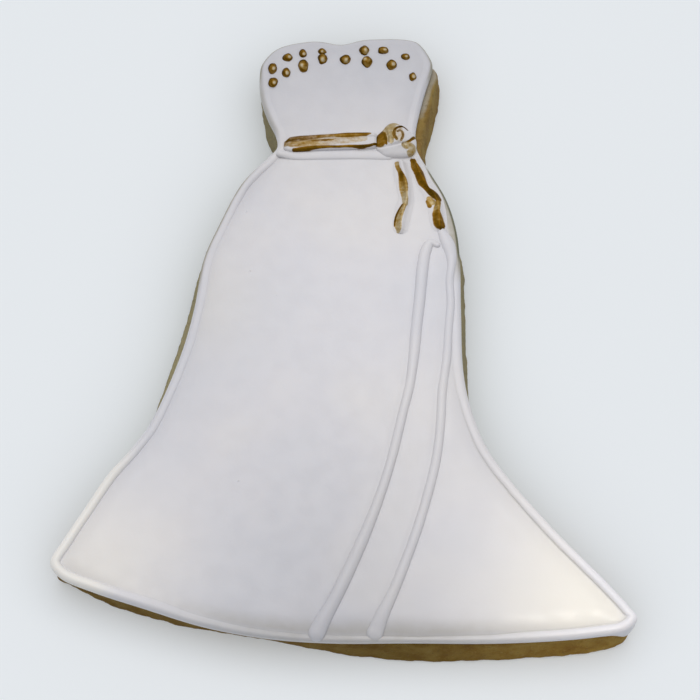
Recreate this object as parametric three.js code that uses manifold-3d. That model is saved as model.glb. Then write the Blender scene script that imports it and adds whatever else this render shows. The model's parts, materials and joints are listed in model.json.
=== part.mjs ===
// An iced sugar cookie cut to the shape of a bridal gown, lying flat on its underside.
// Millimetres, +Z up. +Y runs from the hem to the neckline, and +X to the gown's wider side.
// The origin is at the bottom centre of the whole cookie.
//
// The pieces, from the bottom up:
//   biscuit        the baked, cut-out slab
//   icing          flooded royal icing with its piped border, two piped drape lines and piped pearls
//   sash           the piped waistband
//   rosette        the rolled flower at the end of the waistband
//   ribbon_left    the two tails that fall from the rosette
//   ribbon_right

import * as THREE from 'three';
import Module from 'manifold-3d';
import { mergeVertices } from 'three/addons/utils/BufferGeometryUtils.js';

const wasm = await Module();
wasm.setup();

// ---------------------------------------------------------------- driving dimensions

const BISCUIT_THICKNESS = 6.4;
const WALL_LEAN = 0.65; // the baked foot reaches this far past the top of the wall
const ICING_OVERHANG = 0.6; // and the icing never hangs farther than this past that top
const RAGGEDNESS = 0.14; // how far the crumbly wall wanders in and out

const FLOOD_HEIGHT = 1.9; // flooded icing, above the biscuit
const FLOOD_ROLL_OFF = 5.0; // width of the slope from the border up to the full height
const BORDER_HEIGHT = 1.6; // piped border, above the biscuit
const BORDER_WIDTH = 1.65;
const EDGE_HEIGHT = 0.75; // where the border is widest, above the biscuit
const CREASE_DEPTH = 0.6; // the deepest crease between border and flood

const DRAPE_BEAD_WIDTH = 1.5;
const DRAPE_END_WIDTH = 2.5; // the blob left where the piping stops on the hem
const PEARL_DIAMETER = 1.6;
const PEARL_HEIGHT = 0.9;

const DECORATION_BASE = BISCUIT_THICKNESS + FLOOD_HEIGHT; // level that the trimmings rest on

const POINTS_PER_STATION = 3; // outline points from one station to the next

// The gown's outline, counterclockwise. Each station is x, y on the icing's edge, then how far the
// biscuit's foot reaches beyond the icing there, and how deep the border's crease is, from 0, where
// border and flood have run together, to 1.
const LEFT_SIDE = [
  [-10.9, 32.8, 0.5, 0.2], [-12.4, 30.8, 0.55, 0.6], [-16.5, 26.0, 0.8, 0.8], [-20.3, 17.7, 1.0, 0.4],
  [-22.5, 11.6, 0.95, 0.3], [-23.8, 2.5, 1.45, 0.35], [-25.8, -6.1, 1.7, 0.4], [-30.2, -17.9, 0.8, 0.6],
  [-33.2, -22.5, 0.5, 0.8], [-36.4, -26.5, 0.3, 1.0], [-39.8, -32.4, 0.1, 1.0], [-42.8, -37.6, -0.2, 1.0],
];
const HEM = [
  [-44.5, -41.1, -0.6, 1.0], [-42.9, -43.5, -1.8, 1.0], [-37.8, -45.8, -1.3, 0.8], [-30.2, -48.4, -1.0, 0.2],
  [-20.6, -51.5, -1.9, 0.0], [-11.2, -53.3, -2.2, 0.0], [-1.8, -54.0, -0.85, 0.1], [9.5, -54.0, 0.5, 0.9],
  [24.5, -54.0, 0.35, 1.0], [37.6, -53.1, 0.0, 1.0], [43.0, -52.0, -0.4, 1.0],
];
const RIGHT_SIDE = [
  [44.5, -50.1, -0.9, 1.0], [43.4, -48.3, -0.5, 1.0], [40.4, -44.6, 0.2, 1.0], [31.4, -34.4, 0.3, 0.9],
  [23.1, -23.0, 0.4, 0.7], [20.6, -16.6, 0.5, 0.5], [19.2, -9.2, 0.9, 0.3], [19.0, 2.9, 0.95, 0.1],
  [19.0, 11.6, 0.9, 0.1], [18.5, 17.2, 0.4, 0.1], [17.0, 22.8, 0.35, 0.1], [14.3, 28.2, 0.3, 0.1],
  [12.3, 32.4, 1.6, 0.0],
];
const BODICE_RIGHT = [
  [12.1, 35.4, 1.8, 0.0], [12.8, 39.5, 2.2, 0.0], [13.7, 43.3, 2.15, 0.0], [15.1, 48.5, 1.35, 0.0],
];
const NECKLINE = [
  [14.9, 50.0, 0.6, 0.0], [12.7, 53.5, -0.2, 0.0], [10.5, 54.2, -0.2, 0.0], [6.3, 54.3, -0.2, 0.0],
  [3.3, 54.1, -0.2, 0.0], [-0.3, 53.2, -0.2, 0.0], [-3.9, 53.8, -0.2, 0.0], [-6.4, 53.7, -0.2, 0.0],
  [-11.1, 52.3, -0.2, 0.0], [-13.6, 49.3, 0.1, 0.0],
];
const BODICE_LEFT = [
  [-14.0, 46.9, 0.0, 0.0], [-13.7, 42.3, -0.2, 0.0], [-12.5, 38.3, 0.2, 0.0], [-11.1, 35.0, 0.5, 0.0],
];
const GOWN = [...LEFT_SIDE, ...HEM, ...RIGHT_SIDE, ...BODICE_RIGHT, ...NECKLINE, ...BODICE_LEFT];

// Centre lines of the two piped drape lines, from the hip down to the hem.
const DRAPE_LEFT = [
  [14.3, 14.2], [13.3, 12.0], [12.4, 3.4], [11.4, -6.3], [9.3, -17.0], [6.4, -28.6], [0.9, -43.0],
  [-3.9, -52.4],
];
const DRAPE_RIGHT = [
  [17.2, 13.6], [17.5, 10.6], [17.3, 3.4], [16.5, -6.5], [15.3, -18.6], [13.0, -30.8], [9.6, -41.4],
  [4.8, -52.6],
];
const HIP_FOLD = [17.0, 13.7]; // the puff of icing where the right drape line starts
const HIP_FOLD_WIDTH = 2.9;

// Two rows of pearls below the neckline, from left to right.
const PEARLS_UPPER = [
  [-11.8, 47.6], [-9.3, 50.0], [-6.7, 50.8], [-3.5, 51.3], [3.6, 51.4], [6.8, 51.4], [10.5, 50.1],
];
const PEARLS_LOWER = [
  [-11.7, 44.9], [-9.5, 46.9], [-6.7, 48.1], [-3.4, 49.5],
  [0.4, 49.7], [4.0, 49.1], [8.2, 48.4], [11.7, 46.0],
];

// ---------------------------------------------------------------- outlines

// Points along the closed curve through the stations, each with its stations' last two numbers, blended.
function outlinePoints(stations) {
  const through = (third) => {
    const places = stations.map((station) => new THREE.Vector3(station[0], station[1], station[third]));
    return new THREE.CatmullRomCurve3(places, true, 'centripetal');
  };
  const footCurve = through(2);
  const creaseCurve = through(3);
  const count = stations.length * POINTS_PER_STATION;
  return Array.from({ length: count }, (_, i) => {
    const { x, y, z: foot } = footCurve.getPoint(i / count);
    return { x, y, foot, crease: THREE.MathUtils.clamp(creaseCurve.getPoint(i / count).z, 0, 1) };
  });
}

// For each point of a counterclockwise outline: its place, its outward normal, and the radii of the
// largest circles that touch the outline there from inside and from outside. A ring that is moved in
// or out by less than these never crosses itself.
function describeOutline(points) {
  const count = points.length;
  const outline = points.map((point, i) => {
    const before = points[(i + count - 1) % count];
    const after = points[(i + 1) % count];
    const normal = new THREE.Vector2(after.y - before.y, before.x - after.x).normalize();
    return { ...point, normal, roomInside: Infinity, roomOutside: Infinity };
  });
  for (const here of outline) {
    for (const there of outline) {
      const dx = there.x - here.x;
      const dy = there.y - here.y;
      const outward = dx * here.normal.x + dy * here.normal.y;
      const radius = (dx * dx + dy * dy) / (2 * Math.abs(outward));
      if (outward < -1e-6) {
        here.roomInside = Math.min(here.roomInside, radius);
      }
      if (outward > 1e-6) {
        here.roomOutside = Math.min(here.roomOutside, radius);
      }
    }
  }
  return outline;
}

// The smaller of two lengths, rounded off where they are alike.
function softMin(a, b) {
  return a / Math.cbrt(1 + (a / b) ** 3);
}

const gown = describeOutline(outlinePoints(GOWN));

// The outline moved outwards by a distance, or inwards where it is below zero, as far as there is
// room, and at a height that may depend on the point.
function ringAt(outline, distanceOf, heightOf) {
  return outline.map((point, i) => {
    const wanted = distanceOf(point, i);
    const room = 0.9 * (wanted < 0 ? point.roomInside : point.roomOutside);
    const distance = Math.sign(wanted) * softMin(Math.abs(wanted), room);
    return new THREE.Vector3(
      point.x + point.normal.x * distance,
      point.y + point.normal.y * distance,
      heightOf(point, i, distance));
  });
}

// ---------------------------------------------------------------- solids

// A closed body skinned over rings of equal length. Seen from the last ring, they run counterclockwise.
// endShape is one ring laid out flat, counterclockwise, and says how to fill the two ends.
function skin(rings, endShape) {
  const size = rings[0].length;
  const faces = [];
  for (let start = 0; start < size * (rings.length - 1); start += size) {
    for (let i = 0; i < size; i += 1) {
      const here = start + i;
      const beside = start + ((i + 1) % size);
      faces.push(here, beside, beside + size, here, beside + size, here + size);
    }
  }
  const last = size * (rings.length - 1);
  for (const [a, b, c] of THREE.ShapeUtils.triangulateShape(endShape, [])) {
    faces.push(a, c, b);
    faces.push(last + a, last + b, last + c);
  }
  const geometry = new THREE.BufferGeometry();
  geometry.setFromPoints(rings.flat());
  geometry.setIndex(faces);
  return geometry;
}

// A flat-lying body through rings round the gown, the lowest first.
function loft(rings) {
  return skin(rings, rings[0].map((point) => new THREE.Vector2(point.x, point.y)));
}

// A ridge of icing with a flat base, laid along a plan curve. shapeOf(along) gives the half width and
// the section there as [across, up] pairs, across from -1 on the left to 1, and up in millimetres.
function ridge(centreLine, steps, base, shapeOf) {
  const path = new THREE.CatmullRomCurve3(centreLine.map(([x, y]) => new THREE.Vector3(x, y, 0)));
  const rings = [];
  for (let s = 0; s <= steps; s += 1) {
    const along = s / steps;
    const centre = path.getPointAt(along);
    const heading = path.getTangentAt(along);
    const { halfWidth, section } = shapeOf(along);
    rings.push(section.map(([across, up]) => new THREE.Vector3(
      centre.x + heading.y * across * halfWidth,
      centre.y - heading.x * across * halfWidth,
      base + up)));
  }
  return skin(rings, shapeOf(0.5).section.map(([across, up]) => new THREE.Vector2(-across, up)));
}

// A round piped bead along a path, with plain ends.
function roundBead(points, width, steps) {
  const section = new THREE.Shape();
  section.absarc(0, 0, width / 2, 0, 2 * Math.PI, false);
  const extrudePath = new THREE.CatmullRomCurve3(points);
  return new THREE.ExtrudeGeometry(section, { steps, curveSegments: 8, bevelEnabled: false, extrudePath });
}

// A ball pressed flat, half sunk in what it lies on. height is what stands above z.
function flattenedBall(x, y, z, width, height, sides) {
  const ball = new THREE.SphereGeometry(1, sides, sides / 2);
  ball.rotateX(Math.PI / 2);
  ball.scale(width / 2, width / 2, height);
  ball.translate(x, y, z);
  return ball;
}

// ---------------------------------------------------------------- joining and cutting

function toSolid(geometry) {
  const bare = geometry.clone();
  bare.deleteAttribute('normal');
  bare.deleteAttribute('uv');
  const merged = mergeVertices(bare, 1e-4);
  return new wasm.Manifold(new wasm.Mesh({
    numProp: 3,
    vertProperties: new Float32Array(merged.attributes.position.array),
    triVerts: new Uint32Array(merged.index.array),
  }));
}

function fuse(geometries) {
  return geometries.map(toSolid).reduce((joined, next) => joined.add(next));
}

function toGeometry(solid) {
  const mesh = solid.getMesh();
  const geometry = new THREE.BufferGeometry();
  geometry.setAttribute('position', new THREE.BufferAttribute(new Float32Array(mesh.vertProperties), 3));
  geometry.setIndex(new THREE.BufferAttribute(new Uint32Array(mesh.triVerts), 1));
  return geometry;
}

// ---------------------------------------------------------------- biscuit

// A gentle wander that closes on itself, so the wall is as uneven as a hand-cut, baked edge.
function wander(i, count, phase) {
  const turn = (2 * Math.PI * i) / count;
  return (Math.sin(23 * turn + phase) + Math.sin(37 * turn + 2.3 * phase) + Math.sin(61 * turn)) / 3;
}

function makeBiscuit() {
  // Each level: height, reach beyond the wall, and how much the wall wanders there.
  const levels = [
    [0.0, -0.8, 1.0],
    [0.6, 0.0, 1.0],
    [2.4, 0.05, 0.8],
    [4.6, 0.05, 0.5],
    [5.7, 0.0, 0.3],
    [6.25, -0.45, 0.1],
    [BISCUIT_THICKNESS, -1.05, 0.0],
  ];
  const rings = levels.map(([height, reach, roughness], level) => {
    const rise = THREE.MathUtils.clamp((height - 0.6) / 5.1, 0, 1);
    const wallAt = (point) => {
      const top = Math.max(point.foot - WALL_LEAN, -ICING_OVERHANG);
      return THREE.MathUtils.lerp(point.foot, top, rise);
    };
    return ringAt(
      gown,
      (point, i) => wallAt(point) + reach + RAGGEDNESS * roughness * wander(i, gown.length, level),
      () => height);
  });
  return loft(rings);
}

// ---------------------------------------------------------------- icing

// Height of the icing above the biscuit at a distance inside its edge: border bead, crease, flood.
function icingHeight(inset, crease) {
  const halfBorder = BORDER_WIDTH / 2;
  const creaseHeight = BORDER_HEIGHT - crease * CREASE_DEPTH;
  if (inset < halfBorder) {
    return BORDER_HEIGHT - (BORDER_HEIGHT - EDGE_HEIGHT) * (1 - inset / halfBorder) ** 2;
  }
  if (inset < BORDER_WIDTH) {
    return BORDER_HEIGHT - (BORDER_HEIGHT - creaseHeight) * (inset / halfBorder - 1) ** 2;
  }
  const up = Math.min((inset - BORDER_WIDTH) / (FLOOD_ROLL_OFF - BORDER_WIDTH), 1);
  return creaseHeight + (FLOOD_HEIGHT - creaseHeight) * (1 - (1 - up) ** 2.5);
}

function makeIcingBody() {
  const top = BISCUIT_THICKNESS;
  const rings = [
    ringAt(gown, () => -0.5, () => top),
    ringAt(gown, () => -0.1, () => top + 0.15),
    ringAt(gown, () => 0, () => top + EDGE_HEIGHT),
  ];
  for (const inset of [0.25, 0.8, 1.3, BORDER_WIDTH, 2.1, 3.2, FLOOD_ROLL_OFF]) {
    rings.push(ringAt(
      gown,
      () => -inset,
      (point, i, distance) => top + icingHeight(-distance, point.crease)));
  }
  return loft(rings);
}

// Both drape lines lie on the flood, and dip at the end to ride over the border at the hem.
function makeDrapeLine(centreLine) {
  const level = BISCUIT_THICKNESS + FLOOD_HEIGHT;
  const hemLevel = BISCUIT_THICKNESS + BORDER_HEIGHT;
  const points = centreLine.map(([x, y]) => new THREE.Vector3(x, y, level));
  points.at(-1).z = hemLevel;
  const [startX, startY] = centreLine[0];
  const [endX, endY] = centreLine.at(-1);
  return [
    roundBead(points, DRAPE_BEAD_WIDTH, 26),
    flattenedBall(startX, startY, level, DRAPE_BEAD_WIDTH * 1.1, DRAPE_BEAD_WIDTH / 2, 8),
    flattenedBall(endX, endY, hemLevel, DRAPE_END_WIDTH, 0.9, 10),
  ];
}

function makeHipFold() {
  const [x, y] = HIP_FOLD;
  return flattenedBall(x, y, BISCUIT_THICKNESS + FLOOD_HEIGHT, HIP_FOLD_WIDTH, 0.55, 10);
}

function makePearl([x, y]) {
  return flattenedBall(x, y, BISCUIT_THICKNESS + FLOOD_HEIGHT, PEARL_DIAMETER, PEARL_HEIGHT, 8);
}

function makeIcing() {
  return toGeometry(fuse([
    makeIcingBody(),
    ...makeDrapeLine(DRAPE_LEFT),
    ...makeDrapeLine(DRAPE_RIGHT),
    makeHipFold(),
    ...PEARLS_UPPER.map(makePearl),
    ...PEARLS_LOWER.map(makePearl),
  ]));
}

// ---------------------------------------------------------------- trimmings at the waist

// A round-shouldered strip of icing, thinned at both ends.
function domeProfile(halfWidth, height, endTaper) {
  return (along) => {
    const nearEnd = Math.min(along, 1 - along);
    const swell = endTaper + (1 - endTaper) * Math.min(1, Math.sqrt(nearEnd / 0.12));
    const section = [[-1, 0]];
    for (let k = 0; k <= 8; k += 1) {
      const angle = Math.PI * (1 - k / 8);
      section.push([Math.cos(angle) * 0.98, 0.15 + height * swell * Math.sin(angle)]);
    }
    section.push([1, 0]);
    return { halfWidth: halfWidth * swell, section };
  };
}

// The waistband: a plain bead along its lower edge, a groove, and a band of two pressed strands.
function makeSash() {
  const relief = [
    [1.0, 0.0], [0.97, 0.6], [0.8, 1.1], [0.6, 1.2], [0.42, 0.95], [0.3, 0.55],
    [0.15, 0.95], [-0.15, 1.15], [-0.38, 0.9], [-0.62, 1.15], [-0.88, 0.95], [-0.98, 0.4], [-1.0, 0.0],
  ].reverse();
  return ridge([[-9.0, 32.1], [-2.0, 32.3], [5.0, 32.6]], 10, DECORATION_BASE, (along) => {
    const end = Math.min(1, 0.55 + 6 * Math.min(along, 1 - along));
    return { halfWidth: 2.0 + 0.2 * along, section: relief.map(([across, up]) => [across, up * end]) };
  });
}

// A rolled flower: a low mound, three outer petals that lap round it, and a coiled heart.
function makeRosette() {
  const centreX = 8.8;
  const centreY = 34.1;
  const arc = (radius, from, to, squeeze, drift = 0) => {
    const points = [];
    for (let k = 0; k <= 5; k += 1) {
      const angle = THREE.MathUtils.degToRad(from + ((to - from) * k) / 5);
      const reach = radius * (1 - (drift * k) / 5);
      points.push([centreX + reach * Math.cos(angle), centreY + squeeze * reach * Math.sin(angle)]);
    }
    return points;
  };
  const mound = new THREE.CylinderGeometry(2.3, 2.9, 1.1, 16);
  mound.rotateX(Math.PI / 2);
  mound.translate(centreX, centreY, DECORATION_BASE + 0.55);
  const petals = [
    ridge(arc(2.4, 40, 170, 0.95), 8, DECORATION_BASE, domeProfile(0.75, 1.5, 0.35)),
    ridge(arc(2.4, 165, 285, 0.95), 8, DECORATION_BASE, domeProfile(0.8, 1.3, 0.35)),
    ridge(arc(2.4, 280, 400, 0.95), 8, DECORATION_BASE, domeProfile(0.75, 1.6, 0.35)),
    ridge(arc(1.3, 20, 380, 0.9, 0.55), 12, DECORATION_BASE, domeProfile(0.45, 1.95, 0.5)),
  ];
  return toGeometry(fuse([mound, ...petals]));
}

// A flat tail with soft edges and a raised, twisting middle strand.
function makeRibbon(centreLine, halfWidthOf, strandOffsetOf) {
  return ridge(centreLine, 14, DECORATION_BASE, (along) => {
    const strand = strandOffsetOf(along);
    const nearEnd = Math.min(along, 1 - along);
    const swell = 0.35 + 0.65 * Math.min(1, Math.sqrt(nearEnd / 0.12));
    const section = [[-1, 0], [-0.96, 0.3]];
    for (let k = 0; k <= 8; k += 1) {
      const across = -0.85 + (1.7 * k) / 8;
      const bump = 0.55 * Math.exp(-(((across - strand) / 0.32) ** 2));
      section.push([across, (0.5 + bump) * swell + 0.1]);
    }
    section.push([0.96, 0.3], [1, 0]);
    return { halfWidth: halfWidthOf(along) * swell, section };
  });
}

function makeRibbonLeft() {
  const fall = [[9.1, 29.6], [9.7, 26.2], [10.0, 23.2], [9.6, 20.2], [9.2, 15.6]];
  return makeRibbon(fall, (along) => 1.25 + 0.45 * Math.sin(Math.PI * along), (along) => (
    0.25 * Math.sin(2 * Math.PI * along)));
}

function makeRibbonRight() {
  const fall = [[11.8, 29.9], [12.6, 27.1], [13.8, 24.4], [15.1, 21.6], [15.9, 16.2]];
  return makeRibbon(fall, (along) => 1.15 + 0.45 * Math.sin(Math.PI * along), (along) => (
    0.25 * Math.sin(2.4 * Math.PI * along)));
}

// ---------------------------------------------------------------- the cookie

const bakedDough = new THREE.MeshStandardMaterial({ color: '#83683f', roughness: 0.9, metalness: 0 });
const royalIcing = new THREE.MeshStandardMaterial({ color: '#e4e2e3', roughness: 0.5, metalness: 0 });
const gildedIcing = new THREE.MeshStandardMaterial({ color: '#b89a62', roughness: 0.4, metalness: 0.3 });

const cookie = new THREE.Group();

function addPiece(name, geometry, material) {
  const piece = new THREE.Mesh(geometry, material);
  piece.name = name;
  cookie.add(piece);
}

addPiece('biscuit', makeBiscuit(), bakedDough);
addPiece('icing', makeIcing(), royalIcing);
addPiece('sash', makeSash(), gildedIcing);
addPiece('rosette', makeRosette(), gildedIcing);
addPiece('ribbon_left', makeRibbonLeft(), gildedIcing);
addPiece('ribbon_right', makeRibbonRight(), gildedIcing);

export default cookie;
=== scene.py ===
"""An iced sugar cookie cut as a bridal gown: every surface as it looks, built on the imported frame."""
import json
import math

import bpy
import numpy as np
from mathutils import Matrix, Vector, geometry, noise

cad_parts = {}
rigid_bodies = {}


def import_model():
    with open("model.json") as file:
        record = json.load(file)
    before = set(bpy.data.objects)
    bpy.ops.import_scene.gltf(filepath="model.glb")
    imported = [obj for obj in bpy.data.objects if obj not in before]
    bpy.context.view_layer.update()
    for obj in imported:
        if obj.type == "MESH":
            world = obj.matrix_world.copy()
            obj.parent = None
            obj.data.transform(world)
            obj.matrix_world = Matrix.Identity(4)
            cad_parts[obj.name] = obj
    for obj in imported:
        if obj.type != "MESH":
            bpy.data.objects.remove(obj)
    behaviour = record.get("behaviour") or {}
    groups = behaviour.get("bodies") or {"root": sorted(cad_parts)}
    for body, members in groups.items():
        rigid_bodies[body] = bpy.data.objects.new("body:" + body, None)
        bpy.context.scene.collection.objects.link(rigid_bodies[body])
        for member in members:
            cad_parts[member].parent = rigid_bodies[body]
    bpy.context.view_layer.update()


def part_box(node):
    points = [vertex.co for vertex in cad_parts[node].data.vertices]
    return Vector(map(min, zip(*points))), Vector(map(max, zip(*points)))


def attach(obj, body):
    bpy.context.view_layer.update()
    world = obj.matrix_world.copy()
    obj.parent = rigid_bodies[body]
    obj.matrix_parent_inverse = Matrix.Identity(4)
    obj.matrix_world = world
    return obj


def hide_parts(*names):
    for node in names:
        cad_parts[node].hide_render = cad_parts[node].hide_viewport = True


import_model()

# -------- sizes, in millimetres

MM = 0.001
BISCUIT_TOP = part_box("biscuit")[1][2] / MM
FLOOD_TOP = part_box("sash")[0][2] / MM  # level that the trimmings rest on
FLOOD_HEIGHT = FLOOD_TOP - BISCUIT_TOP

WALL_LEAN = 0.65  # the foot reaches this far past the wall's top
ICING_OVERHANG = 0.6  # and the icing at most this far past that top

ROLL_OFF = 5.5  # slope from the border up to the full height
BORDER_WIDTH = 1.55
BORDER_HEIGHT = 1.6
EDGE_HEIGHT = 0.75  # where the border is widest
CREASE_DEPTH = 0.55  # the deepest crease between border and flood
CREASE_SOFTENING = 1.5  # power that lets shallow creases fade first
OUTLINE_STEP = 0.32  # spacing of outline points

# Along the middle of the hem the border has sunk and run together with the flood.
SUNK_MIDDLE = 1.0  # x of the stretch's middle
SUNK_REACH = 24.0  # and how far it goes to each side
SUNK_NARROWING = 0.36  # share of the border's width that is lost there
SUNK_DROP = 0.32  # how much lower the border is there

# At the right hem corner the icing has sagged over the biscuit's edge.
SAG_CORNER = (43.2, -51.6)
SAG_DEPTH = 2.4
SAG_REACH = 1.8

# The gown's outline, counterclockwise: x, y on the icing's edge, how far the biscuit's foot reaches
# beyond it, and how deep the border's crease is, from 0, run together with the flood, to 1.
LEFT_SIDE = [
    (-10.9, 32.8, 0.5, 0.2), (-12.4, 30.8, 0.55, 0.6), (-16.5, 26.0, 0.8, 0.8),
    (-20.3, 17.7, 1.0, 0.4), (-22.5, 11.6, 0.95, 0.3), (-23.8, 2.5, 1.45, 0.35),
    (-25.8, -6.1, 1.7, 0.4), (-30.2, -17.9, 0.8, 0.6), (-33.2, -22.5, 0.5, 0.8),
    (-36.4, -26.5, 0.3, 1.0), (-39.8, -32.4, 0.1, 1.0), (-42.8, -37.6, -0.2, 1.0),
]
HEM = [
    (-44.5, -41.1, -0.6, 1.0), (-42.9, -43.5, -1.8, 1.0), (-37.8, -45.8, -1.3, 0.8),
    (-30.2, -48.4, -1.0, 0.2), (-20.6, -51.5, -1.9, 0.0), (-11.2, -53.3, -2.2, 0.0),
    (-1.8, -54.0, -0.85, 0.1), (9.5, -54.0, 0.5, 0.9), (24.5, -54.0, 0.35, 1.0),
    (37.6, -53.1, 0.0, 1.0), (43.0, -52.0, -0.4, 1.0),
]
RIGHT_SIDE = [
    (44.5, -50.1, -0.9, 1.0), (43.4, -48.3, -0.5, 1.0), (40.4, -44.6, 0.2, 1.0),
    (31.4, -34.4, 0.3, 0.9), (23.1, -23.0, 0.4, 0.7), (20.6, -16.6, 0.5, 0.5),
    (19.2, -9.2, 0.9, 0.3), (19.0, 2.9, 0.95, 0.1), (19.0, 11.6, 0.9, 0.1), (18.5, 17.2, 0.4, 0.1),
    (17.0, 22.8, 0.35, 0.1), (14.3, 28.2, 0.3, 0.1), (12.3, 32.4, 1.6, 0.0),
]
BODICE_RIGHT = [
    (12.1, 35.4, 1.8, 0.0), (12.8, 39.5, 2.2, 0.0), (13.7, 43.3, 2.15, 0.0), (15.1, 48.5, 1.35, 0.0),
]
NECKLINE = [
    (14.9, 50.0, 0.6, 0.0), (12.7, 53.5, -0.2, 0.0), (10.5, 54.2, -0.2, 0.0), (6.3, 54.3, -0.2, 0.0),
    (3.3, 54.1, -0.2, 0.0), (-0.3, 53.2, -0.2, 0.0), (-3.9, 53.8, -0.2, 0.0), (-6.4, 53.7, -0.2, 0.0),
    (-11.1, 52.3, -0.2, 0.0), (-13.6, 49.3, 0.1, 0.0),
]
BODICE_LEFT = [
    (-14.0, 46.9, 0.0, 0.0), (-13.7, 42.3, -0.2, 0.0), (-12.5, 38.3, 0.2, 0.0), (-11.1, 35.0, 0.5, 0.0),
]
GOWN = LEFT_SIDE + HEM + RIGHT_SIDE + BODICE_RIGHT + NECKLINE + BODICE_LEFT

# Piped drape lines: x, y and half width, from the hip down to the hem.
DRAPE_LEFT = [
    (15.3, 13.9, 0.55), (14.3, 14.3, 0.72), (13.5, 12.9, 0.90), (12.9, 9.6, 0.96), (12.6, 6.5, 0.96),
    (12.3, 3.4, 0.94), (11.8, -1.0, 0.92), (11.3, -6.3, 0.86), (10.6, -11.4, 0.76), (9.3, -17.0, 0.75),
    (7.9, -23.2, 0.76), (6.4, -28.6, 0.78), (4.7, -33.6, 0.84), (2.9, -38.3, 0.94), (0.9, -43.0, 1.02),
    (-1.1, -47.4, 1.08), (-3.0, -51.0, 1.22), (-3.8, -52.6, 1.35),
]
DRAPE_RIGHT = [
    (15.8, 16.9, 0.55), (16.4, 15.7, 0.90), (17.1, 14.0, 1.15), (17.5, 12.3, 0.98), (17.6, 10.8, 0.80),
    (17.4, 9.0, 0.72), (17.2, 7.3, 0.70), (17.3, 3.4, 0.72), (16.9, -1.1, 0.70), (16.5, -6.5, 0.72),
    (15.7, -12.5, 0.74), (15.3, -18.6, 0.74), (14.5, -24.6, 0.76), (13.0, -30.8, 0.76),
    (11.4, -36.3, 0.76), (9.6, -41.4, 0.80), (7.8, -46.1, 0.86), (6.2, -49.6, 1.05),
    (4.9, -52.6, 1.35),
]

# Pearls: x, y, half width, half length, then which way the side left unpainted and given a painted
# highlight faces, and how large it is.
PEARLS = [
    (-11.8, 47.9, 0.72, 1.00, -45, 0.50), (-9.3, 50.1, 0.78, 0.78, -20, 0.36),
    (-6.7, 50.9, 0.62, 0.80, -60, 0.45), (-3.5, 51.35, 0.68, 0.56, -90, 0.36),
    (3.6, 51.5, 0.80, 0.96, -30, 0.50), (6.8, 51.5, 0.92, 0.70, -30, 0.45),
    (10.5, 50.2, 0.74, 0.60, -45, 0.45),
    (-11.7, 45.15, 0.76, 0.92, -50, 0.46), (-9.5, 47.0, 0.70, 0.90, -60, 0.50),
    (-6.7, 48.3, 0.86, 1.10, 195, 0.60), (-3.4, 49.75, 0.76, 0.98, -90, 0.55),
    (0.4, 49.6, 0.86, 0.90, -70, 0.50), (4.0, 49.2, 0.84, 1.05, 150, 0.50),
    (8.2, 48.6, 0.80, 0.98, -30, 0.46), (11.7, 46.25, 0.58, 0.78, -20, 0.65),
]


# -------- curves and distances

def catmull_rom(points, closed, steps):
    """A centripetal curve through the rows of points, with steps samples between neighbours."""
    points = np.asarray(points, float)
    count = len(points)
    samples = []
    for i in range(count if closed else count - 1):
        b, c = points[i], points[(i + 1) % count]
        a = points[i - 1] if closed or i > 0 else 2 * b - c
        d = points[(i + 2) % count] if closed or i + 2 < count else 2 * c - b
        ab, bc, cd = (max(np.linalg.norm(q - p) ** 0.5, 1e-4) for p, q in ((a, b), (b, c), (c, d)))
        leave = ((b - a) / ab - (c - a) / (ab + bc) + (c - b) / bc) * bc
        arrive = ((c - b) / bc - (d - b) / (bc + cd) + (d - c) / cd) * bc
        for t in np.arange(steps) / steps:
            samples.append(
                b + leave * t + (3 * (c - b) - 2 * leave - arrive) * t ** 2
                + (2 * (b - c) + leave + arrive) * t ** 3)
    if not closed:
        samples.append(points[-1])
    return np.array(samples)


def evenly(points, closed, step):
    """The polyline's rows again, evenly spaced about step apart in plan."""
    if closed:
        points = np.vstack([points, points[:1]])
    lengths = np.hypot(*np.diff(points[:, :2], axis=0).T)
    along = np.concatenate([[0], np.cumsum(lengths)])
    count = max(int(round(along[-1] / step)), 2)
    wanted = np.linspace(0, along[-1], count + 1)
    if closed:
        wanted = wanted[:-1]
    return np.column_stack([np.interp(wanted, along, column) for column in points.T])


def soft_min(a, b):
    """The smaller of two lengths, rounded off where they are alike."""
    return a / np.cbrt(1 + (a / b) ** 3)


def smoothstep(low, high, value):
    t = np.clip((value - low) / (high - low), 0, 1)
    return t * t * (3 - 2 * t)


def near_path(points, path, closed=False):
    """Each point's distance to a polyline, and where along it that is, from 0 to 1."""
    starts = path
    ends = np.roll(path, -1, axis=0)
    if not closed:
        starts, ends = path[:-1], path[1:]
    heading = ends - starts
    squared = np.maximum((heading ** 2).sum(1), 1e-12)
    distance = np.empty(len(points))
    place = np.empty(len(points))
    for first in range(0, len(points), 2000):
        some = points[first:first + 2000]
        offset = some[:, None, :] - starts[None]
        t = np.clip((offset * heading).sum(2) / squared, 0, 1)
        gap = ((offset - t[..., None] * heading) ** 2).sum(2)
        nearest = gap.argmin(1)
        rows = np.arange(len(some))
        distance[first:first + 2000] = np.sqrt(gap[rows, nearest])
        place[first:first + 2000] = (nearest + t[rows, nearest]) / len(starts)
    return distance, place


def wobble(values, scale, seed):
    """Smooth noise from -1 to 1 along a line, for values in millimetres."""
    return np.array([noise.noise(Vector((value / scale, 7.3 * seed, 1.7))) for value in values])


def wobble_round(count, length, scale, seed):
    """Smooth noise from -1 to 1 at count places round a closed line of a length in millimetres."""
    turns = 2 * np.pi * np.arange(count) / count
    radius = length / (2 * math.pi * scale)
    return np.array([
        noise.noise(Vector((radius * math.cos(turn), radius * math.sin(turn), 7.3 * seed)))
        for turn in turns])


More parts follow.
